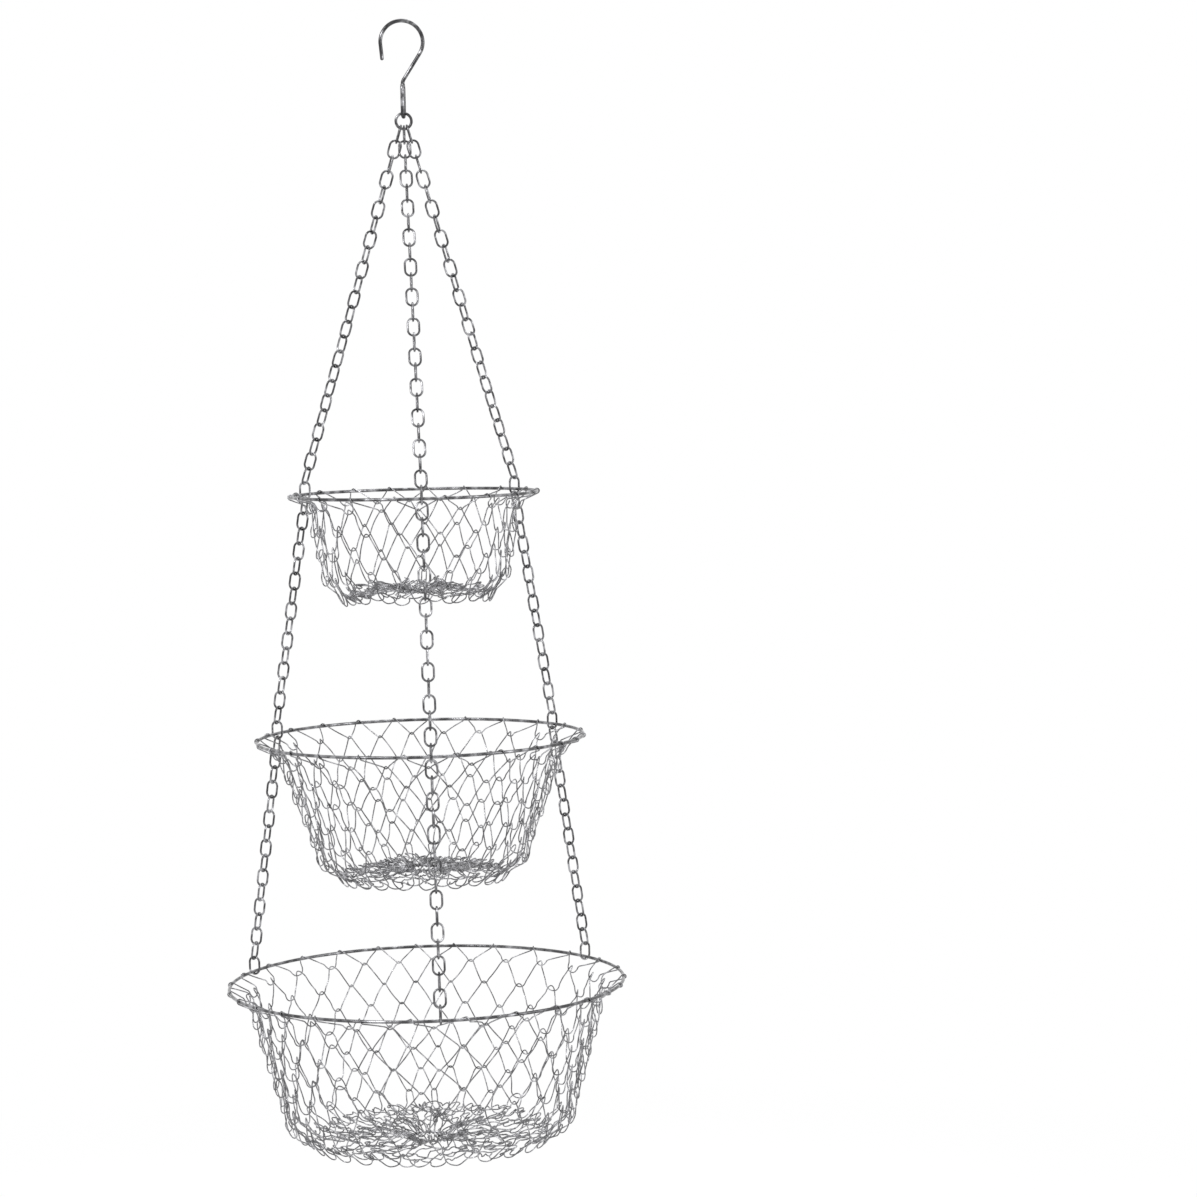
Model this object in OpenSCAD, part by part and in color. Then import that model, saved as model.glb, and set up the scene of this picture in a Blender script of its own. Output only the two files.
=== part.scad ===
// Three-tier hanging basket of steel wire.
// An open hook ends in a long closed eye. A small gather ring hangs in the eye
// and carries three chains. Each chain threads the rims of three round baskets
// that grow wider from top to bottom. Each basket is a net of zigzag wires:
// every wire hooks into the one above it, the first wraps the rim, and the last
// wraps a small ring in the middle of the floor.
// Units are millimetres, +Z is up, and the origin is the seat of the hook: the
// lowest inside point of the top of its bow. The front of the basket faces -Y.

/* [Hook] */
// Diameter of the hook's wire
hook_wire_d = 2.7; // [2:0.1:4]
// Inside radius of the open bow
bow_in_r = 13.6; // [9:0.2:24]
// Straight length of the bow's free end
bow_tip_l = 10; // [4:1:25]
// Angle by which that end turns inwards
bow_tip_turn = 5; // [0:1:15]
// Angle below level at which the bow runs into the slanted neck
neck_slant = 33; // [25:1:60]
// Bend radius where the slanted neck turns straight down
neck_bend_r = 5; // [4:0.5:12]
// Straight length between that bend and the eye
neck_l = 1; // [1:0.5:20]
// Outside length of the closed eye
eye_l = 25; // [16:1:60]
// Clear width inside the closed eye
eye_gap = 2.7; // [2.6:0.1:6]
// Turn of the eye out of the plane that faces front to back
eye_turn = 15; // [0:5:20]

/* [Ring and chains] */
// Diameter of the gather ring's wire
ring_wire_d = 2; // [1.4:0.1:2.2]
// Outside diameter of the gather ring
ring_out_d = 13; // [12.4:0.2:18]
// Angle along the gather ring between neighbouring chains
ring_spread = 28; // [26:1:34]
// Diameter of the wire of a chain link
link_wire_d = 1.5; // [1:0.1:1.6]
// Outside length of a chain link
link_l = 14.2; // [13:0.1:20]
// Outside width of a chain link
link_w = 9.4; // [8.6:0.1:11]
// Links in each chain from the gather ring to the top rim
links_upper = 24; // [16:1:40]
// Links in each chain between the rims of two baskets
links_between = 15; // [11:2:25]
// Play between two wires that hang in each other
play = 0.15; // [0.1:0.05:0.3]

/* [Rims] */
// Diameter of the wire of a rim
rim_wire_d = 2.3; // [1.8:0.1:3]
// Outside diameter of the top rim
top_rim_d = 177.5; // [150:0.5:200]
// Outside diameter of the middle rim
middle_rim_d = 235; // [205:1:260]
// Outside diameter of the bottom rim
bottom_rim_d = 285; // [265:1:320]

/* [Nets] */
// Diameter of the wire of the nets
net_wire_d = 0.9; // [0.7:0.05:1]
// Distance from the middle of a net's wall to the wires of its two layers
net_layer = 0.85; // [0.8:0.05:1]
// Depth of the top basket below its rim
top_depth = 72; // [50:1:110]
// Depth of the middle basket below its rim
middle_depth = 97; // [60:1:130]
// Depth of the bottom basket below its rim
bottom_depth = 116; // [80:1:150]
// Width of the top, middle and bottom nets at the collar, as a share of the rim's width
collar_share = [0.84, 0.85, 0.88]; // [0.8:0.01:0.92]
// Depth of the flare from the rim to that collar, as a share of the basket's depth
flare_share = [0.07, 0.1, 0.07]; // [0.05:0.01:0.2]
// Width of the nets where the wall meets the floor, as a share of the rim's width
foot_share = [0.75, 0.65, 0.73]; // [0.62:0.01:0.78]
// Height of the middle of each floor above the floor's edge
floor_rise = 3; // [0:1:14]
// Diameter of the wire of a floor ring
floor_ring_wire_d = 1.6; // [1.2:0.1:2]
// Cells around the top, middle and bottom nets, each a multiple of 3
net_cells = [18, 24, 27]; // [15:3:33]
// Zigzag wires in the walls of the top, middle and bottom nets
wall_rows = [5, 7, 8]; // [4:1:9]
// Zigzag wires in the floors of the top, middle and bottom nets
floor_rows = [3, 3, 3]; // [1:1:4]

/* [Hidden] */

$fn = 48;
CHROME = "#c9ccd0";
BRIGHT = "#dfe2e5";
STEEL = "#aeb2b7";

// Directions of the three chains around the axis, seen from above
FRONT = -90;
RIGHT = 30;
LEFT = 150;

// Hook: the bow lies in the plane that faces the front
hook_r = hook_wire_d / 2;
bow_r = bow_in_r + hook_r;
bow_z = -bow_in_r;
slant_l = (bow_r * cos(neck_slant) - neck_bend_r * (1 - cos(neck_slant))) / sin(neck_slant);
neck_z = bow_z - (bow_r + neck_bend_r) * sin(neck_slant) - slant_l * cos(neck_slant);
eye_r = (eye_gap + hook_wire_d) / 2;
bead_share = 1.25;
// A straight run is thinner than its bends by the shoulder and laps into them
shoulder = 0.025;
lap = 0.4;
eye_top_z = neck_z - neck_l - eye_r;
eye_low_z = eye_top_z - (eye_l - eye_gap - 2 * hook_wire_d);
// Height of the middle of the wire at the eye's lowest point, on which the ring rides
eye_seat_z = eye_low_z - eye_r;

// Gather ring: upright, facing the front, with the three chains near its lowest point
ring_wire_r = ring_wire_d / 2;
ring_r = ring_out_d / 2 - ring_wire_r;
ring_z = eye_seat_z + hook_r + play + ring_wire_r - ring_r;

// Chain links
link_wire_r = link_wire_d / 2;
link_end_r = link_w / 2 - link_wire_r;
link_side = link_l - link_w;
link_reach = link_l - link_wire_d;
link_pitch = link_l - 2 * link_wire_d - play;

// Rims, as circles through the middle of the wire
rim_wire_r = rim_wire_d / 2;
rim_r = [for (d = [top_rim_d, middle_rim_d, bottom_rim_d]) d / 2 - rim_wire_r];
depth = [top_depth, middle_depth, bottom_depth];

// Each rim lies in one link of every chain. Where the chain goes on downwards, the
// rim rests on the next link's bow, and on the bottom rim it rests on its own link.
function seat_drop(tier) =
    rim_wire_r + play + link_wire_r + (tier < 2 ? link_wire_d + play : 0);
function seat_top(tier) = link_reach - seat_drop(tier);

// Distance between the two wires that a straight run of n links joins
function run(n, upper_wire_r) =
    (n - 1) * link_pitch + link_reach - upper_wire_r - 3 * link_wire_r - 2 * play;
function fall(long, out) = sqrt(long * long - out * out);

// Heights of the three rims
top_z = ring_z - ring_r - fall(run(links_upper, ring_wire_r), rim_r[0]) - seat_top(0);
middle_z = top_z - seat_drop(0)
    - fall(run(links_between, link_wire_r), rim_r[1] - rim_r[0]) - seat_top(1);
bottom_z = middle_z - seat_drop(1)
    - fall(run(links_between, link_wire_r), rim_r[2] - rim_r[1]) - seat_top(2);
rim_z = [top_z, middle_z, bottom_z];

// Where a chain hangs on the gather ring
function ring_angle(way) = way == FRONT ? 0 : (way == RIGHT ? ring_spread : -ring_spread);
function ring_point(way) = [
    ring_r * sin(ring_angle(way)), 0, ring_z - ring_r * cos(ring_angle(way))
];
function rim_point(tier, way, up) = [
    rim_r[tier] * cos(way), rim_r[tier] * sin(way), rim_z[tier] + up
];

// Net: the wall flares out to the rim, narrows towards its foot, turns in through a
// round corner and runs over the floor to the floor ring.
NET_SIDES = 3;
net_r = net_wire_d * 0.6;
bend_half = net_layer;
hook_gap = net_r + play / 2;
corner_share = 0.15;
floor_ring_wire_r = floor_ring_wire_d / 2;
function floor_ring_r(tier) =
    net_cells[tier] * (2 * bend_half + 2 * net_r + 3 * play) / (2 * PI);
function corner_r(tier) = corner_share * depth[tier];

// Profile of a net as points [radius, height below the rim]
function profile(tier) = let (r = rim_r[tier], d = depth[tier], c = corner_r(tier)) concat(
    [[r, 0], [r * collar_share[tier], -flare_share[tier] * d]],
    [for (a = [0:30:90]) [r * foot_share[tier] - c * (1 - cos(a)), -d + c * (1 - sin(a))]],
    [[floor_ring_r(tier), floor_rise - d]]
);

// Point at a distance along a profile
function length_to(p, i) = i == 0 ? 0 : norm(p[i] - p[i - 1]) + length_to(p, i - 1);
function leg_at(p, s, i = 0) =
    i >= len(p) - 2 || length_to(p, i + 1) > s ? i : leg_at(p, s, i + 1);
function along(p, s) = let (i = leg_at(p, s), a = length_to(p, i), b = length_to(p, i + 1))
    p[i] + (p[i + 1] - p[i]) * (s - a) / (b - a);

// Distance along the profile of a row of hooks: even rows on the wall, even on the floor
function row_at(p, tier, row) = let (
    wall = length_to(p, len(p) - 2),
    whole = length_to(p, len(p) - 1),
    n = wall_rows[tier]
) row <= n ? wall * row / n : wall + (whole - wall) * (row - n) / floor_rows[tier];

// A row as [its place, its direction down the net, its direction out of the net]. Its
// direction is that from the row above to the row below.
function row_frame(tier, row) = let (
    p = profile(tier),
    last = wall_rows[tier] + floor_rows[tier],
    q = [for (k = [max(row - 1, 0), row, min(row + 1, last)]) along(p, row_at(p, tier, k))],
    t = unit(q[2] - q[0])
) [q[1], t, [-t[1], t[0]]];

// Point of a net: turn around the axis, side step, distance down and distance out
function net_point(frame, turn, side, down, out) = let (
    q = frame[0] + frame[1] * down + frame[2] * out
) [
    q[0] * cos(turn) - side * sin(turn),
    q[0] * sin(turn) + side * cos(turn),
    q[1]
];

// A bend that hooks into the next wire: it passes from one layer to the other.
// A bend that wraps a round wire goes square around it at a distance of reach.
function hook_bend(frame, turn, down, first) = [
    net_point(frame, turn, -bend_half, down, first * net_layer),
    net_point(frame, turn, bend_half, down, -first * net_layer)
];
function wrap_bend(frame, turn, reach, way, first) = [
    net_point(frame, turn, -bend_half / 2, way * reach, first * reach),
    net_point(frame, turn, bend_half / 2, way * reach, -first * reach)
];
function wrap_reach(wire_r) = wire_r + net_r + 2 * play;

// The bends of one zigzag wire: peaks in its upper row, valleys in its lower row.
// Wires that run down to the right lie in the outer layer, the others in the inner.
function course(tier, row) = let (
    n = net_cells[tier],
    cell = 360 / n,
    above = row_frame(tier, row),
    below = row_frame(tier, row + 1),
    last = wall_rows[tier] + floor_rows[tier] - 1,
    // half a cell of turn keeps the first peaks clear of the chains
    shift = LEFT + (row % 2 == 0 ? cell / 2 : 0)
) [
    for (i = [0:n - 1], part = [0, 1])
        each part == 0
            ? (row == 0
                ? wrap_bend(above, shift + i * cell, wrap_reach(rim_wire_r), -1, -1)
                : hook_bend(above, shift + i * cell, -hook_gap, -1))
            : (row == last
                ? wrap_bend(below, shift + (i + 0.5) * cell, wrap_reach(floor_ring_wire_r), 1, 1)
                : hook_bend(below, shift + (i + 0.5) * cell, hook_gap, 1))
];

// Wire along a closed run of points, with NET_SIDES sides. The section is carried
// along without twist, and what is left when the run closes is spread over it.
function unit(v) = v / norm(v);
function across(v, t) = unit(v - t * (v * t));
function carried(v, from, to) = unit(v - (from + to) * (v * to) / (1 + from * to));
module closed_wire(points, r) {
    n = len(points);
    tangent = [for (i = [0:n - 1])
        unit(unit(points[(i + 1) % n] - points[i]) + unit(points[i] - points[(i + n - 1) % n]))];
    start = across([0, 0, 1], tangent[0]);
    side = [for (
        i = 0, v = start; i <= n;
        i = i + 1, v = carried(v, tangent[(i - 1) % n], tangent[i % n])
    ) v];
    left_over = atan2(cross(tangent[0], start) * side[n], start * side[n]);
    spread = left_over - 360 / NET_SIDES * round(left_over * NET_SIDES / 360);
    shift = round((left_over - spread) * NET_SIDES / 360);
    rings = [for (i = [0:n - 1], k = [0:NET_SIDES - 1])
        let (
            e = side[i],
            f = cross(tangent[i], e),
            a = k * 360 / NET_SIDES - spread * i / n
        ) points[i] + r * (e * cos(a) + f * sin(a))];
    function at(i, k) = i < n
        ? i * NET_SIDES + (k % NET_SIDES)
        : (k + shift + NET_SIDES) % NET_SIDES;
    polyhedron(rings, [
        for (i = [0:n - 1], k = [0:NET_SIDES - 1], half = [0, 1])
            half == 0
                ? [at(i, k), at(i + 1, k), at(i + 1, k + 1)]
                : [at(i, k), at(i + 1, k + 1), at(i, k + 1)]
    ]);
}

// Half ring of wire in the plane of local Y and Z, open below
module half_ring(mean_r, wire_r) {
    rotate([90, 0, 90])
        rotate_extrude(angle = 180)
            translate([mean_r, 0]) circle(r = wire_r);
}

// Closed loop of wire with straight sides, in the plane of local Y and Z
module long_loop(mean_r, wire_r, side_l) {
    translate([0, 0, side_l / 2]) half_ring(mean_r, wire_r);
    translate([0, 0, -side_l / 2]) mirror([0, 0, 1]) half_ring(mean_r, wire_r);
    for (y = [-mean_r, mean_r])
        translate([0, y, -side_l / 2]) cylinder(r = wire_r, h = side_l);
}

module link() {
    long_loop(link_end_r, link_wire_r, link_side, $fn = 24);
}

// Links from an upper wire at a to a lower wire at b. The first link faces turn_a
// and the last turn_b, each link is a quarter turn on from the one before, and the
// rest of the turn is spread evenly.
module chain(a, a_wire_r, b, b_wire_r, n, turn_a, turn_b) {
    d = b - a;
    up = -unit(d);
    top = a + up * (a_wire_r + link_wire_r + play);
    end = b - up * (b_wire_r + link_wire_r + play);
    step = (norm(top - end) - link_reach) / (n - 1);
    turned = turn_b - turn_a - 90 * (n - 1);
    twist = turned - 180 * round(turned / 180);
    lean_way = atan2(d[1], d[0]);
    lean = atan2(norm([d[0], d[1]]), -d[2]);
    for (i = [0:n - 1])
        translate(top - up * (link_reach / 2 + i * step))
            rotate([0, 0, lean_way])
                rotate([0, -lean, 0])
                    rotate([0, 0, turn_a - lean_way + i * (90 + twist / (n - 1))])
                        link();
}

module upper_chain(way) {
    color(CHROME)
        chain(ring_point(way), ring_wire_r, rim_point(0, way, seat_top(0)), link_wire_r,
            links_upper, 0, way);
}

// Chain from the link on one rim down to the link on the next
module tier_chain(tier, way) {
    color(CHROME)
        chain(rim_point(tier, way, -seat_drop(tier)), link_wire_r,
            rim_point(tier + 1, way, seat_top(tier + 1)), link_wire_r,
            links_between, way, way);
}

// The upright link of a chain that a rim lies in
module rim_link(tier, way) {
    color(CHROME)
        translate(rim_point(tier, way, link_reach / 2 - seat_drop(tier)))
            rotate([0, 0, way + 90])
                link();
}

// Straight wire along +Z that reaches a little way into the bend at each end
module straight(wire_r, l) {
    translate([0, 0, -lap]) cylinder(r = wire_r - shoulder, h = l + 2 * lap);
}

// Straight wire that hangs down from a bend and ends in a round tip
module free_end(wire_r, l) {
    r = wire_r - shoulder;
    translate([0, 0, -l])
        rotate_extrude() {
            square([r, l + lap]);
            intersection() {
                circle(r = r);
                translate([0, -r]) square([r, r]);
            }
        }
}

// Bend of wire around local Z, from local +X through an angle
module bend(mean_r, wire_r, angle) {
    rotate_extrude(angle = angle)
        translate([mean_r, 0]) circle(r = wire_r);
}

module hook() {
    color(BRIGHT) {
        translate([0, 0, bow_z])
            rotate([90, 0, 0])
                rotate([0, 0, -neck_slant])
                    bend(bow_r, hook_r, 180 + neck_slant + bow_tip_turn);
        translate([-bow_r * cos(bow_tip_turn), 0, bow_z - bow_r * sin(bow_tip_turn)])
            rotate([0, -bow_tip_turn, 0])
                free_end(hook_r, bow_tip_l);
        // slanted neck, the bend that turns it upright, and the upright neck
        translate([bow_r * cos(neck_slant), 0, bow_z - bow_r * sin(neck_slant)])
            rotate([0, 180 + neck_slant, 0])
                straight(hook_r, slant_l);
        translate([neck_bend_r, 0, neck_z])
            rotate([90, 0, 0])
                rotate([0, 0, 180 - neck_slant])
                    bend(neck_bend_r, hook_r, neck_slant);
        translate([0, 0, neck_z - neck_l]) straight(hook_r, neck_l);
        // eye, with a bead where the neck runs into it
        translate([0, 0, neck_z - neck_l]) sphere(r = hook_r * bead_share);
        translate([0, 0, (eye_top_z + eye_low_z) / 2])
            rotate([0, 0, -eye_turn])
                long_loop(eye_r, hook_r, eye_top_z - eye_low_z);
    }
}

module gather_ring() {
    color(BRIGHT)
        translate([0, 0, ring_z])
            rotate([90, 0, 0])
                rotate_extrude()
                    translate([ring_r, 0]) circle(r = ring_wire_r);
}

module rim(tier) {
    color(BRIGHT)
        translate([0, 0, rim_z[tier]])
            rotate_extrude($fn = 96)
                translate([rim_r[tier], 0]) circle(r = rim_wire_r, $fn = 32);
}

module floor_ring(tier) {
    color(STEEL)
        translate([0, 0, rim_z[tier] - depth[tier] + floor_rise])
            rotate_extrude()
                translate([floor_ring_r(tier), 0]) circle(r = floor_ring_wire_r, $fn = 32);
}

module net_wall(tier) {
    color(STEEL)
        translate([0, 0, rim_z[tier]])
            for (row = [0:wall_rows[tier] - 1])
                closed_wire(course(tier, row), net_r);
}

module net_floor(tier) {
    color(STEEL)
        translate([0, 0, rim_z[tier]])
            for (row = [0:floor_rows[tier] - 1])
                closed_wire(course(tier, wall_rows[tier] + row), net_r);
}

hook();
gather_ring();
upper_chain(FRONT);  // upper_chain_front
upper_chain(RIGHT);  // upper_chain_right
upper_chain(LEFT);  // upper_chain_left
rim_link(0, FRONT);  // top_rim_link_front
rim_link(0, RIGHT);  // top_rim_link_right
rim_link(0, LEFT);  // top_rim_link_left
rim(0);  // top_rim
net_wall(0);  // top_net_wall
net_floor(0);  // top_net_floor
floor_ring(0);  // top_floor_ring
tier_chain(0, FRONT);  // middle_chain_front
tier_chain(0, RIGHT);  // middle_chain_right
tier_chain(0, LEFT);  // middle_chain_left
rim_link(1, FRONT);  // middle_rim_link_front
rim_link(1, RIGHT);  // middle_rim_link_right
rim_link(1, LEFT);  // middle_rim_link_left
rim(1);  // middle_rim
net_wall(1);  // middle_net_wall
net_floor(1);  // middle_net_floor
floor_ring(1);  // middle_floor_ring
tier_chain(1, FRONT);  // lower_chain_front
tier_chain(1, RIGHT);  // lower_chain_right
tier_chain(1, LEFT);  // lower_chain_left
rim_link(2, FRONT);  // bottom_rim_link_front
rim_link(2, RIGHT);  // bottom_rim_link_right
rim_link(2, LEFT);  // bottom_rim_link_left
rim(2);  // bottom_rim
net_wall(2);  // bottom_net_wall
net_floor(2);  // bottom_net_floor
floor_ring(2);  // bottom_floor_ring
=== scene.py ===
"""Looks of a three-tier hanging basket of chromed wire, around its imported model.

The rims, chains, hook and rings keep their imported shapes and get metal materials.
The nets are built again as smooth round wires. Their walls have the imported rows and
cells, and their floors have more rows. Neighbouring wires may overlap where they hook.
"""
import math
import random

import bpy
import numpy as np
from mathutils import Matrix, Vector


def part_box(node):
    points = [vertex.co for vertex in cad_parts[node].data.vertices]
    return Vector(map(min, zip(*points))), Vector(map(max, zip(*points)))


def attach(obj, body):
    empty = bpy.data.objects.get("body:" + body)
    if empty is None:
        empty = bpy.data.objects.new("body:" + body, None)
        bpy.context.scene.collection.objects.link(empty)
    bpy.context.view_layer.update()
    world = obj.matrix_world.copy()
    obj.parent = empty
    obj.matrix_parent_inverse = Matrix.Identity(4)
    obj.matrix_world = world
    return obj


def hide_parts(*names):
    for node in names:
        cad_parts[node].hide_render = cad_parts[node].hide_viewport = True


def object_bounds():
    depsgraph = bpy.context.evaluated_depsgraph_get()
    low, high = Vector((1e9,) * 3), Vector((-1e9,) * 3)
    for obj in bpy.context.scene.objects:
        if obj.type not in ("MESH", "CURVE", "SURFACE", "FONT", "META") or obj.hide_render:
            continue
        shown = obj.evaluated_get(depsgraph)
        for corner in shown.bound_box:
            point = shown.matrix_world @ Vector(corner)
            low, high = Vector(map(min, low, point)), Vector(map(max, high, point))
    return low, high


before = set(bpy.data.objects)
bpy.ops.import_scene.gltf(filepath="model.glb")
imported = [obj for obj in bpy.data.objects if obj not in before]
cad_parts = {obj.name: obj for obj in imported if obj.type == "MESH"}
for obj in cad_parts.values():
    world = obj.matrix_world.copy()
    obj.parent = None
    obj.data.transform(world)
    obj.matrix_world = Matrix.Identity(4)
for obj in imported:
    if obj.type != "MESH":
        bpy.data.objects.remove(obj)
CAD_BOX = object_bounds()

# ---------------------------------------------------------------- rims and rings
# Sizes are in metres. A list gives its values for the top, middle and bottom tier.
TIERS = ("top", "middle", "bottom")
RIM_WIRE_R = 0.00115
RIM_R = [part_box(f"{t}_rim")[1].x - RIM_WIRE_R for t in TIERS]
RIM_Z = [sum(p.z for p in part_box(f"{t}_rim")) / 2 for t in TIERS]
FLOOR_RING_WIRE_R = 0.0008
FLOOR_RING_R = [(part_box(f"{t}_floor_ring")[1].x - FLOOR_RING_WIRE_R) for t in TIERS]

# ---------------------------------------------------------------- section of the nets
DEPTH = [0.072, 0.097, 0.116]
# Radius below the flare and at the foot as shares of the rim's, height of the flare and
# size of the corner as shares of the depth
COLLAR_SHARE = [0.85, 0.86, 0.895]
FOOT_SHARE = [0.725, 0.63, 0.722]
FLARE_SHARE = [0.07, 0.10, 0.07]
CORNER_SHARE = 0.15
CORNER_DEGS = (0, 30, 60, 90)
FLOOR_RISE = 0.003
# The foot lies a little higher than the depth says, because loops hang below it
FOOT_LIFT = [0.0020, 0.0010, 0.0069]

# ---------------------------------------------------------------- rows and cells
CELLS = [18, 24, 27]
WALL_ROWS = [5, 7, 8]
FLOOR_ROWS = [5, 5, 7]
# The first floor row lies this far from the foot, so that its loops fill the fringe
FRINGE = 0.005
# Turn of the left chain, from which the cells are counted
LEFT_DEG = 150.0
# Cells are wider near the three chains than between them
CHAINS = 3
CELL_WARP = 0.13

# ---------------------------------------------------------------- wires and hooks
NET_WIRE_R = 0.00045
WIRE_SIDES = 8
# The straights bow sideways by this spread, and outwards by a share of it
WALL_BOW = 0.0003
FLOOR_BOW = 0.0013
BOW_OUT_SHARE = 0.6
STRAIGHT_PIECES = 5
# Half width of a hook in front and behind, at the sides, and the most in a floor
HOOK_HALF = 0.0015
SIDE_HALF = 0.0054
FLOOR_HALF_BEND = 0.0034
TIER_WIDE = [0.78, 0.9, 1.0]
# The length of a bend follows its half width up to this one
SIDE_BEND = 0.0038
# Distance of a hook's wire from the net's surface: in front and behind, at the sides, in a floor
NET_LAYER = 0.00052
SIDE_LAYER = 0.0021
FLOOR_LAYER = 0.0007
# Loose hooks overlap more: a little in front and behind, much at the sides and the floor
LOOSE_FRONT, LOOSE_SIDE, LOOSE_FLOOR = 0.0005, 0.0032, 0.0022
# How sharply looseness and width rise towards the sides
LOOSE_POWER, WIDE_POWER = 3, 1.6
# Tips of valleys stand out of the net and tips of peaks into it
VALLEY_OUT, PEAK_IN = 0.0026, 0.0008
# The two wires at the foot have wide loops that hang below it
FOOT_LOOP = 0.0038
FOOT_LOOP_HALF = 0.0052
# Bends round a rim or floor ring: points, half turn in degrees, and play at either
WRAP_POINTS = 9
WRAP_HALF_DEG = 100
RIM_PLAY, RING_PLAY = 0.0002, 0.0001

# ---------------------------------------------------------------- how single hooks slide
# Seeds of the draws: for a tier and row of hooks, and for the bows of a tier's straights
TIER_SEED, ROW_SEED, BOW_SEED = 9000, 100, 40
RIM_SLIDE = 0.0004
# Slow wave and random spread, sideways and down; a floor slides more than a wall
SIDE_WAVE, SIDE_SPREAD = 0.0007, 0.0008
DOWN_WAVE, DOWN_SPREAD = 0.0005, 0.0007
FLOOR_SLACK = 1.9
# Width of a hook for its place: random spread, least and most
WIDTH_SPREAD, WIDTH_LEAST, WIDTH_MOST = 0.24, 0.6, 1.5
# Lumps of the floor: mean, spread and least height. Most hooks stand a little above it.
FLOOR_LUMP_MEAN, FLOOR_LUMP, FLOOR_LUMP_LEAST = 0.0007, [0.0034, 0.0017, 0.0018], -0.0004
# The floor swells up round its ring, where the wires lie most crowded
MIDDLE_SWELL = [0.0020, 0.0010, 0.0030]

# ---------------------------------------------------------------- painted reflections in the metal's colour
# Size of the painted bright and dark reflection runs, and where their dark, middle and bright
# tones lie
REFLECTION_RUN_SCALE = 150.0
REFLECTION_RUN_PLACES = (0.40, 0.52, 0.66)
BLUE_TINT = 1.04
# Dull spots are rougher than the plating by this factor
DULL_FACTOR = 2.6


# ---------------------------------------------------------------- net wires
def profile(tier):
    """Section of a net as points (radius, height below the rim)."""
    r, d = RIM_R[tier], DEPTH[tier] - FOOT_LIFT[tier]
    c = CORNER_SHARE * d
    foot = FOOT_SHARE[tier]
    points = [(r, 0.0), (r * COLLAR_SHARE[tier], -FLARE_SHARE[tier] * d)]
    for a in CORNER_DEGS:
        turn = math.radians(a)
        points.append((r * foot - c * (1 - math.cos(turn)), -d + c * (1 - math.sin(turn))))
    points.append((FLOOR_RING_R[tier], FLOOR_RISE - DEPTH[tier]))
    return np.array(points)


def lengths(p):
    """Distance along the profile to each of its points."""
    return np.concatenate([[0], np.cumsum(np.linalg.norm(np.diff(p, axis=0), axis=1))])


def row_place(tier, row):
    """Point of the profile where a row of hooks lies."""
    p = profile(tier)
    total = lengths(p)
    wall, whole, n = total[-2], total[-1], WALL_ROWS[tier]
    if row <= n:
        s = wall * row / n
    else:
        s = wall + FRINGE + (whole - wall - FRINGE) * (row - n - 1) / (FLOOR_ROWS[tier] - 1)
    return np.array([np.interp(s, total, p[:, 0]), np.interp(s, total, p[:, 1])])


def row_frame(tier, row):
    """Place, direction down the net and direction out of the net of a row of hooks."""
    last = WALL_ROWS[tier] + FLOOR_ROWS[tier]
    t = row_place(tier, min(row + 1, last)) - row_place(tier, max(row - 1, 0))
    t /= np.linalg.norm(t)
    return row_place(tier, row), t, np.array([-t[1], t[0]])


def net_point(row, turn, side, down, out):
    """Point of a net from a turn round the axis and three small offsets."""
    q = row[0] + row[1] * down + row[2] * out
    c, s = math.cos(turn), math.sin(turn)
    return np.array([q[0] * c - side * s, q[0] * s + side * c, q[1]])


def slack(tier, row, turn):
    """How far one hook has slid sideways and down and stands up, and its share of width."""
    cell = 2 * math.pi / CELLS[tier]
    place = round((turn - math.radians(LEFT_DEG)) / (cell / 2)) % (2 * CELLS[tier])
    rng = random.Random(TIER_SEED * tier + ROW_SEED * row + place)
    last = WALL_ROWS[tier] + FLOOR_ROWS[tier]
    if row in (0, last):
        return rng.gauss(0, RIM_SLIDE) * (row == 0), 0.0, 0.0, 1.0
    wave = math.sin(3 * turn + row * 0.9 + tier) + 0.6 * math.sin(5 * turn - row * 0.5)
    loose = 1.0 if row <= WALL_ROWS[tier] else FLOOR_SLACK
    side = (SIDE_WAVE * wave + rng.gauss(0, SIDE_SPREAD)) * loose
    down = (DOWN_WAVE * wave + rng.gauss(0, DOWN_SPREAD)) * loose
    lump = 0.0
    if row > WALL_ROWS[tier]:
        lump = max(FLOOR_LUMP_LEAST, rng.gauss(FLOOR_LUMP_MEAN, FLOOR_LUMP[tier]))
    if row >= last - 2:
        lump += MIDDLE_SWELL[tier] * rng.random() * 2
    wide = min(WIDTH_MOST, max(WIDTH_LEAST, rng.gauss(1, WIDTH_SPREAD)))
    return side, down, lump, wide


# Half of a bend: side, distance before the tip, share of the layer. In front and behind
# the straight wires meet in a short flat bend, at the sides and below in a round one.
TAUT_BEND = ((-1.3, -1.2, 1.0), (-0.95, -0.55, 1.0), (-0.5, -0.08, 0.8), (0.0, 0.0, 0.0))
ROUND_BEND = ((-0.98, -1.8, 1.0), (-1.04, -1.05, 1.0), (-0.66, -0.26, 0.7), (0.0, 0.0, 0.0))


def hook_bend(row, turn, way, bend, half=None, hang=0.0):
    """Bend that hooks into the next wire and passes from one layer to the other."""
    reach, row_half, slackness, layer_out = bend
    half = half or row_half
    shape = [[a + (b - a) * slackness for a, b in zip(taut, loose)]
             for taut, loose in zip(TAUT_BEND, ROUND_BEND)]
    shape += [(-a, b, -c) for a, b, c in reversed(shape[:-1])]
    bulge = VALLEY_OUT if way > 0 else -PEAK_IN
    pts = []
    for side, before, layer in shape:
        tip = 1 + before / 2
        p = net_point(row, turn, side * half, way * (reach + before * min(half, SIDE_BEND)),
                      way * layer * layer_out + bulge * tip * reach / LOOSE_SIDE)
        p[2] -= hang * tip
        pts.append(p)
    return pts


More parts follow.
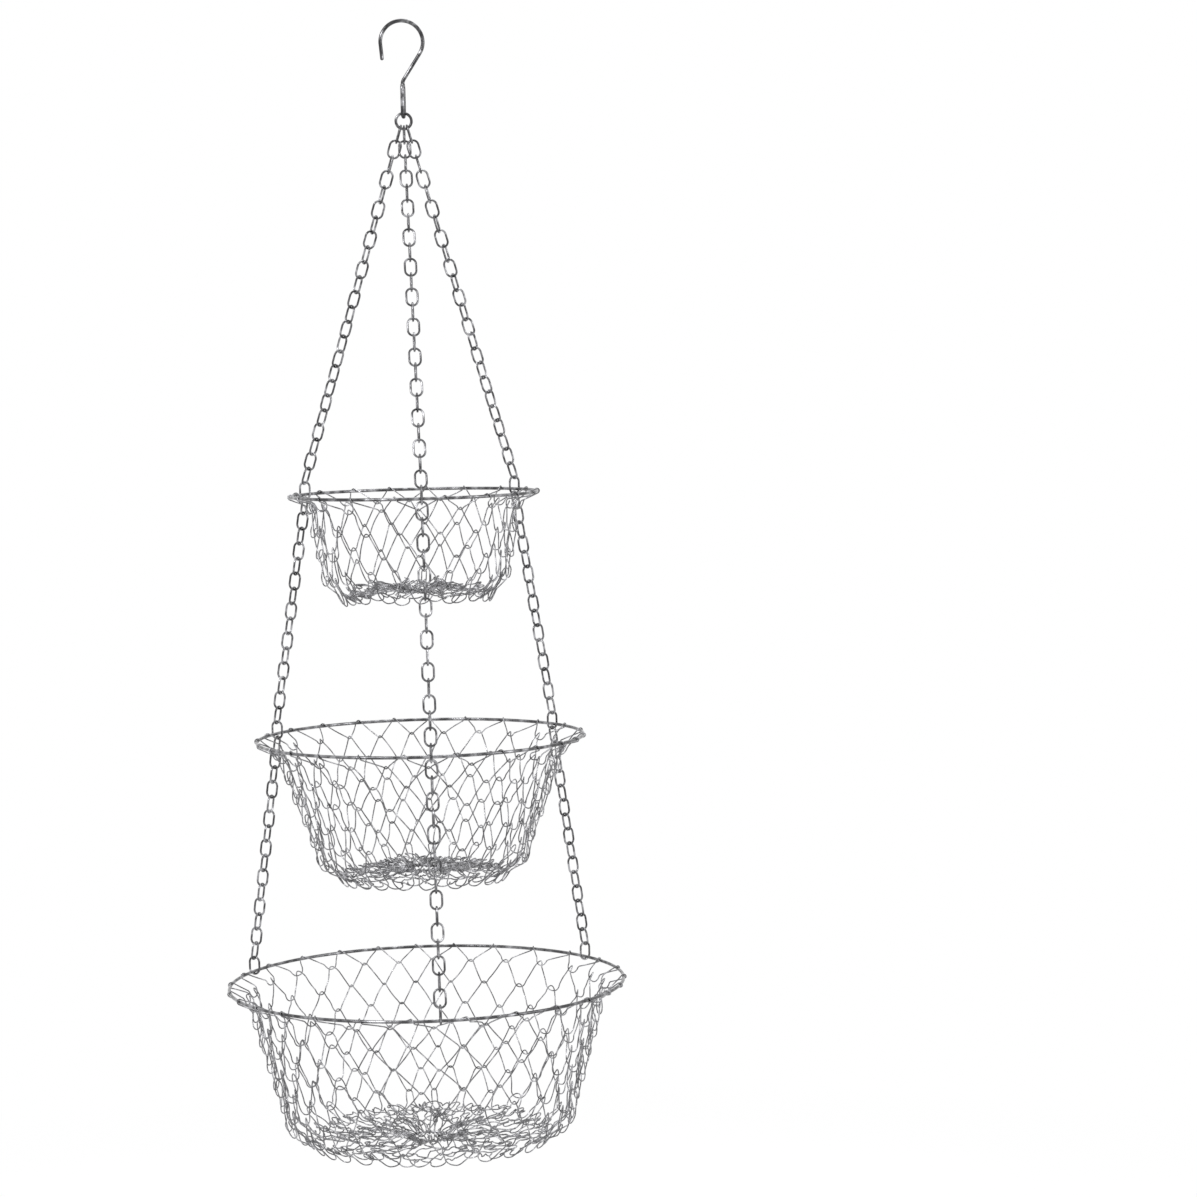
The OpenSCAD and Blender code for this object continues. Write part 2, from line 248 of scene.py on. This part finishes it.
def wrap_bend(row, turn, reach, way):
    """Bend that goes round the wire of a rim or floor ring."""
    middle = (WRAP_POINTS - 1) // 2
    pts = []
    for i in range(WRAP_POINTS):
        a = math.radians(-WRAP_HALF_DEG + WRAP_HALF_DEG // middle * i)
        pts.append(net_point(
            row, turn, HOOK_HALF * (i / middle - 1), way * reach * math.cos(a),
            -way * reach * math.sin(a)))
    return pts


def course(tier, row):
    """The bends of one zigzag wire, each a list of points, peak and valley in turn."""
    n = CELLS[tier]
    cell = 2 * math.pi / n
    above, below = row_frame(tier, row), row_frame(tier, row + 1)
    foot = WALL_ROWS[tier]
    last = foot + FLOOR_ROWS[tier] - 1
    shift = math.radians(LEFT_DEG) + (cell / 2 if row % 2 == 0 else 0)

    def hook_place(frame_row, at, turn):
        """Row, turn and bend of one hook, slid from its even place."""
        side, down, lump, wide = slack(tier, at, turn)
        turn += CELL_WARP / CHAINS * math.sin(CHAINS * turn + 1.5 * math.pi)
        place = frame_row[0] + frame_row[1] * down + np.array([0.0, lump])
        side_share = abs(math.cos(turn)) ** LOOSE_POWER
        loose = LOOSE_FRONT + (LOOSE_SIDE - LOOSE_FRONT) * side_share
        half = HOOK_HALF + (SIDE_HALF - HOOK_HALF) * abs(math.cos(turn)) ** WIDE_POWER
        layer_out = NET_LAYER + (SIDE_LAYER - NET_LAYER) * side_share
        if at >= foot:
            layer_out = FLOOR_LAYER
        if at > foot:
            loose, side_share = LOOSE_FLOOR, 1.0
            half = min(FLOOR_HALF_BEND, place[0] * cell / 4)
        at_row = (place, frame_row[1], frame_row[2])
        layer_out *= math.copysign(1, math.sin(2 * turn))
        half = half * wide * TIER_WIDE[tier]
        return at_row, turn + side / place[0], (loose, half, side_share, layer_out)

    bends = []
    for i in range(n):
        at, turn, bend = hook_place(above, row, shift + i * cell)
        if row == 0:
            bends.append(wrap_bend(at, turn, RIM_WIRE_R + NET_WIRE_R + RIM_PLAY, -1))
        else:
            bends.append(hook_bend(at, turn, -1, bend))
        at, turn, bend = hook_place(below, row + 1, shift + (i + 0.5) * cell)
        if row == last:
            bends.append(wrap_bend(at, turn, FLOOR_RING_WIRE_R + NET_WIRE_R + RING_PLAY, 1))
        elif row in (foot - 1, foot):
            bends.append(hook_bend(at, turn, 1, bend, FOOT_LOOP_HALF, FOOT_LOOP))
        else:
            bends.append(hook_bend(at, turn, 1, bend))
    return bends


def wire_path(bends, rng, bow):
    """Closed path through the bends; the straights between them bow a little."""
    path = []
    for i, bend in enumerate(bends):
        path += bend
        a, b = bend[-1], bends[(i + 1) % len(bends)][0]
        d = b - a
        out = np.array([(a + b)[0], (a + b)[1], 0.0])
        out /= max(np.linalg.norm(out), 1e-9)
        side = np.cross(d / np.linalg.norm(d), out)
        lift = rng.gauss(0, bow * BOW_OUT_SHARE) * out + rng.gauss(0, bow) * side
        for k in range(1, STRAIGHT_PIECES):
            t = k / STRAIGHT_PIECES
            path.append(a + d * t + lift * 4 * t * (1 - t))
    return np.array(path)


def smooth_closed(path):
    """Cuts the corners of a closed path, which rounds its bends."""
    nxt = np.roll(path, -1, axis=0)
    return np.stack([path * 0.75 + nxt * 0.25, path * 0.25 + nxt * 0.75], 1).reshape(-1, 3)


def tube(path, radius, verts, faces):
    """Adds a closed round wire along a path to the lists of vertices and faces."""
    n = len(path)
    tangent = np.roll(path, -1, axis=0) - np.roll(path, 1, axis=0)
    tangent /= np.linalg.norm(tangent, axis=1)[:, None]
    e = np.zeros((n, 3))
    v = np.array([0.0, 0.0, 1.0])
    v -= tangent[0] * (v @ tangent[0])
    e[0] = v / np.linalg.norm(v)
    for i in range(1, n):
        v = e[i - 1] - tangent[i] * (e[i - 1] @ tangent[i])
        e[i] = v / np.linalg.norm(v)
    v = e[-1] - tangent[0] * (e[-1] @ tangent[0])
    v /= np.linalg.norm(v)
    f0 = np.cross(tangent[0], e[0])
    left_over = math.atan2(f0 @ v, e[0] @ v)
    f = np.cross(tangent, e)
    base = len(verts)
    steps = np.arange(WIRE_SIDES) * 2 * math.pi / WIRE_SIDES
    for i in range(n):
        a = steps - left_over * i / n
        ring = path[i] + radius * (np.cos(a)[:, None] * e[i] + np.sin(a)[:, None] * f[i])
        verts.extend(ring.tolist())
    for i in range(n):
        here, there = base + i * WIRE_SIDES, base + (i + 1) % n * WIRE_SIDES
        for k in range(WIRE_SIDES):
            m = (k + 1) % WIRE_SIDES
            faces.append((here + k, there + k, there + m, here + m))


def mesh_object(name, verts, faces, material):
    """A smooth-shaded mesh object with one material."""
    mesh = bpy.data.meshes.new(name)
    mesh.from_pydata(verts, [], faces)
    mesh.validate()
    mesh.update()
    mesh.polygons.foreach_set("use_smooth", [True] * len(mesh.polygons))
    mesh.materials.append(material)
    obj = bpy.data.objects.new(name, mesh)
    bpy.context.scene.collection.objects.link(obj)
    return obj


# ---------------------------------------------------------------- materials
class Nodes:
    """Short calls that add and join shader nodes of one material."""

    def __init__(self, name):
        self.material = bpy.data.materials.new(name)
        self.material.use_nodes = True
        self.tree = self.material.node_tree
        self.shader = self.tree.nodes["Principled BSDF"]

    def add(self, kind, **values):
        """A node with its properties or inputs set."""
        made = self.tree.nodes.new(kind)
        for key, value in values.items():
            if hasattr(made, key):
                setattr(made, key, value)
            else:
                made.inputs[key.replace("_", " ")].default_value = value
        return made

    def join(self, out, into):
        """Joins an output to an input."""
        self.tree.links.new(out, into)

    def ramp(self, source, stops):
        """A colour ramp over a value; a stop has three numbers, or one for a grey."""
        made = self.add("ShaderNodeValToRGB")
        elements = made.color_ramp.elements
        while len(elements) < len(stops):
            elements.new(0.5)
        for element, (place, colour) in zip(elements, stops):
            element.position = place
            element.color = (*colour, 1) if len(colour) == 3 else (colour[0],) * 3 + (1,)
        self.join(source, made.inputs["Fac"])
        return made.outputs["Color"]


def metal(name, reflection_tones, rough, grain, bump):
    """Plated steel wire whose colour holds painted reflections in dark and bright runs, with
    fine marks and small dull spots.
    """
    n = Nodes(name)
    where = n.add("ShaderNodeTexCoord").outputs["Object"]
    # Noise that lays painted reflections along the wires as bright and dark runs
    painted_reflection_runs = n.add("ShaderNodeTexNoise", Scale=REFLECTION_RUN_SCALE, Detail=2.5, Roughness=0.55)
    spots = n.add("ShaderNodeTexNoise", Scale=grain, Detail=3.0, Roughness=0.7)
    marks = n.add("ShaderNodeTexNoise", Scale=grain * 2, Detail=2.0, Roughness=0.5)
    for texture in (painted_reflection_runs, spots, marks):
        n.join(where, texture.inputs["Vector"])
    # The tones are painted reflections: dark ones for reflected dark surroundings, bright ones
    # for streaks of light
    reflection_tints = [(tone, tone, tone * BLUE_TINT) for tone in reflection_tones]
    n.join(n.ramp(painted_reflection_runs.outputs["Fac"], list(zip(REFLECTION_RUN_PLACES, reflection_tints))),
           n.shader.inputs["Base Color"])
    n.join(n.ramp(spots.outputs["Fac"], [(0.42, (rough,)), (0.7, (rough * DULL_FACTOR,))]),
           n.shader.inputs["Roughness"])
    relief = n.add("ShaderNodeBump", Strength=bump, Distance=0.0002)
    n.join(marks.outputs["Fac"], relief.inputs["Height"])
    n.join(relief.outputs["Normal"], n.shader.inputs["Normal"])
    n.shader.inputs["Metallic"].default_value = 1.0
    return n.material


# Each metal's dark, middle and bright tones are painted reflections. The whole colour is kept
# dark as a painted reflection of dark surroundings, not the chrome's own tone.
HOOK_METAL = metal("hook_chrome", (0.055, 0.10, 0.36), 0.12, 700.0, 0.03)
CHAIN_METAL = metal("chain_chrome", (0.075, 0.17, 0.44), 0.15, 800.0, 0.04)
RIM_METAL = metal("rim_chrome", (0.08, 0.17, 0.36), 0.14, 700.0, 0.03)
NET_METAL = metal("net_chrome", (0.12, 0.23, 0.46), 0.20, 900.0, 0.05)

for node_name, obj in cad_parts.items():
    if node_name in ("hook", "gather_ring"):
        finish = HOOK_METAL
    elif "chain" in node_name or "link" in node_name:
        finish = CHAIN_METAL
    elif "rim" in node_name:
        finish = RIM_METAL
    else:
        finish = NET_METAL
    if obj.material_slots:
        for slot in obj.material_slots:
            slot.material = finish
    else:
        obj.data.materials.append(finish)

# ---------------------------------------------------------------- nets
for tier, tier_name in enumerate(TIERS):
    rng = random.Random(BOW_SEED + tier)
    parts = {"wall": ([], []), "floor": ([], [])}
    for row in range(WALL_ROWS[tier] + FLOOR_ROWS[tier]):
        part = "wall" if row < WALL_ROWS[tier] else "floor"
        bow = WALL_BOW if part == "wall" else FLOOR_BOW
        path = smooth_closed(wire_path(course(tier, row), rng, bow))
        path[:, 2] += RIM_Z[tier]
        tube(path, NET_WIRE_R, *parts[part])
    for part, (verts, faces) in parts.items():
        net = mesh_object(f"{tier_name}_{part}_wires", verts, faces, NET_METAL)
        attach(net, f"{tier_name}_tier")
        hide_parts(f"{tier_name}_net_{part}")

# ---------------------------------------------------------------- studio
FLOOR_Z = CAD_BOX[0].z - 0.25
FLOOR_HALF = 9.0
PAPER_TONE = PAPER_ROUGHNESS = 0.9
PAPER_GLOW = 0.22
SHADOW_NEAR, SHADOW_FAR = 0.5, 1.3
# Strength of the world for the light on the object, and for the rays that show it
WORLD_LIGHT, WORLD_SEEN = 0.55, 1.0


def seen_rays(tree):
    """1 for the rays that show a backdrop: camera, glossy and transmission rays."""
    rays = tree.nodes.new("ShaderNodeLightPath")
    seen = None
    for name in ("Is Camera Ray", "Is Glossy Ray", "Is Transmission Ray"):
        if seen is None:
            seen = rays.outputs[name]
            continue
        most = tree.nodes.new("ShaderNodeMath")
        most.operation = "MAXIMUM"
        tree.links.new(seen, most.inputs[0])
        tree.links.new(rays.outputs[name], most.inputs[1])
        seen = most.outputs[0]
    return seen


def map_range(tree, value, to_min, to_max, from_min=0.0, from_max=1.0):
    """A value mapped from one range to another."""
    made = tree.nodes.new("ShaderNodeMapRange")
    for name, number in (("From Min", from_min), ("From Max", from_max),
                         ("To Min", to_min), ("To Max", to_max)):
        made.inputs[name].default_value = number
    tree.links.new(value, made.inputs["Value"])
    return made.outputs["Result"]


def backdrop_paper():
    """White paper that keeps the shadow near the object and reads plain white far off."""
    n = Nodes("floor_paper")
    n.shader.inputs["Base Color"].default_value = (PAPER_TONE, PAPER_TONE, PAPER_TONE, 1)
    n.shader.inputs["Roughness"].default_value = PAPER_ROUGHNESS
    seen = seen_rays(n.tree)
    near = n.add("ShaderNodeEmission")
    n.join(map_range(n.tree, seen, 0.0, PAPER_GLOW), near.inputs["Strength"])
    paper = n.add("ShaderNodeAddShader")
    n.join(n.shader.outputs[0], paper.inputs[0])
    n.join(near.outputs[0], paper.inputs[1])
    white = n.add("ShaderNodeEmission")
    white.inputs["Strength"].default_value = 1.0
    where = n.add("ShaderNodeTexCoord").outputs["Object"]
    away = n.add("ShaderNodeVectorMath", operation="LENGTH")
    n.join(where, away.inputs[0])
    fade = map_range(n.tree, away.outputs["Value"], 0.0, 1.0, SHADOW_NEAR, SHADOW_FAR)
    share = n.add("ShaderNodeMath", operation="MULTIPLY")
    n.join(fade, share.inputs[0])
    n.join(seen, share.inputs[1])
    mix = n.add("ShaderNodeMixShader")
    n.join(share.outputs[0], mix.inputs[0])
    n.join(paper.outputs[0], mix.inputs[1])
    n.join(white.outputs[0], mix.inputs[2])
    n.join(mix.outputs[0], n.tree.nodes["Material Output"].inputs["Surface"])
    return n.material


floor_mesh = bpy.data.meshes.new("floor")
corners = [(-1, -1), (1, -1), (1, 1), (-1, 1)]
floor_mesh.from_pydata([(x * FLOOR_HALF, y * FLOOR_HALF, 0) for x, y in corners],
                       [], [(0, 1, 2, 3)])
floor = bpy.data.objects.new("floor", floor_mesh)
floor.location.z = FLOOR_Z
bpy.context.scene.collection.objects.link(floor)
floor_mesh.materials.append(backdrop_paper())

world = bpy.data.worlds.new("studio")
bpy.context.scene.world = world
world.use_nodes = True
background = world.node_tree.nodes["Background"]
background.inputs["Color"].default_value = (1, 1, 1, 1)
world.node_tree.links.new(
    map_range(world.node_tree, seen_rays(world.node_tree), WORLD_LIGHT, WORLD_SEEN),
    background.inputs["Strength"])


def area_light(name, place, target, size, power):
    """A square soft light that faces a point."""
    lamp = bpy.data.lights.new(name, "AREA")
    lamp.size = size
    lamp.energy = power
    obj = bpy.data.objects.new(name, lamp)
    obj.location = place
    obj.rotation_mode = "QUATERNION"
    obj.rotation_quaternion = (Vector(target) - Vector(place)).to_track_quat("-Z", "Y")
    bpy.context.scene.collection.objects.link(obj)


# Point of the object that the lights face
MIDDLE = (0, 0, -0.4)
area_light("key", (-1.4, -1.6, 0.9), MIDDLE, 0.8, 22)
area_light("fill", (1.7, -1.2, 0.1), MIDDLE, 0.9, 10)
area_light("top", (0.1, 0.4, 1.5), MIDDLE, 1.0, 14)

# ---------------------------------------------------------------- camera
# Fitted to the rims, hook and gather ring of the photograph
LENS_MM, SENSOR_MM = 97.19, 36.0
CAMERA_PLACE = (-0.1366, -2.2959, -0.2386)
CAMERA_LOOK = (0.1152, 0.9906, -0.0741)
CAMERA_UP = (0.0315, 0.0709, 0.997)
lens = bpy.data.cameras.new("camera")
lens.lens, lens.sensor_width = LENS_MM, SENSOR_MM
lens.clip_start, lens.clip_end = 0.05, 60
camera = bpy.data.objects.new("camera", lens)
bpy.context.scene.collection.objects.link(camera)
look = Vector(CAMERA_LOOK).normalized()
up = Vector(CAMERA_UP)
right = look.cross(up).normalized()
up = right.cross(look)
camera.matrix_world = Matrix((
    (right.x, up.x, -look.x, CAMERA_PLACE[0]),
    (right.y, up.y, -look.y, CAMERA_PLACE[1]),
    (right.z, up.z, -look.z, CAMERA_PLACE[2]),
    (0, 0, 0, 1)))
bpy.context.scene.camera = camera
bpy.context.scene.view_settings.view_transform = "Standard"
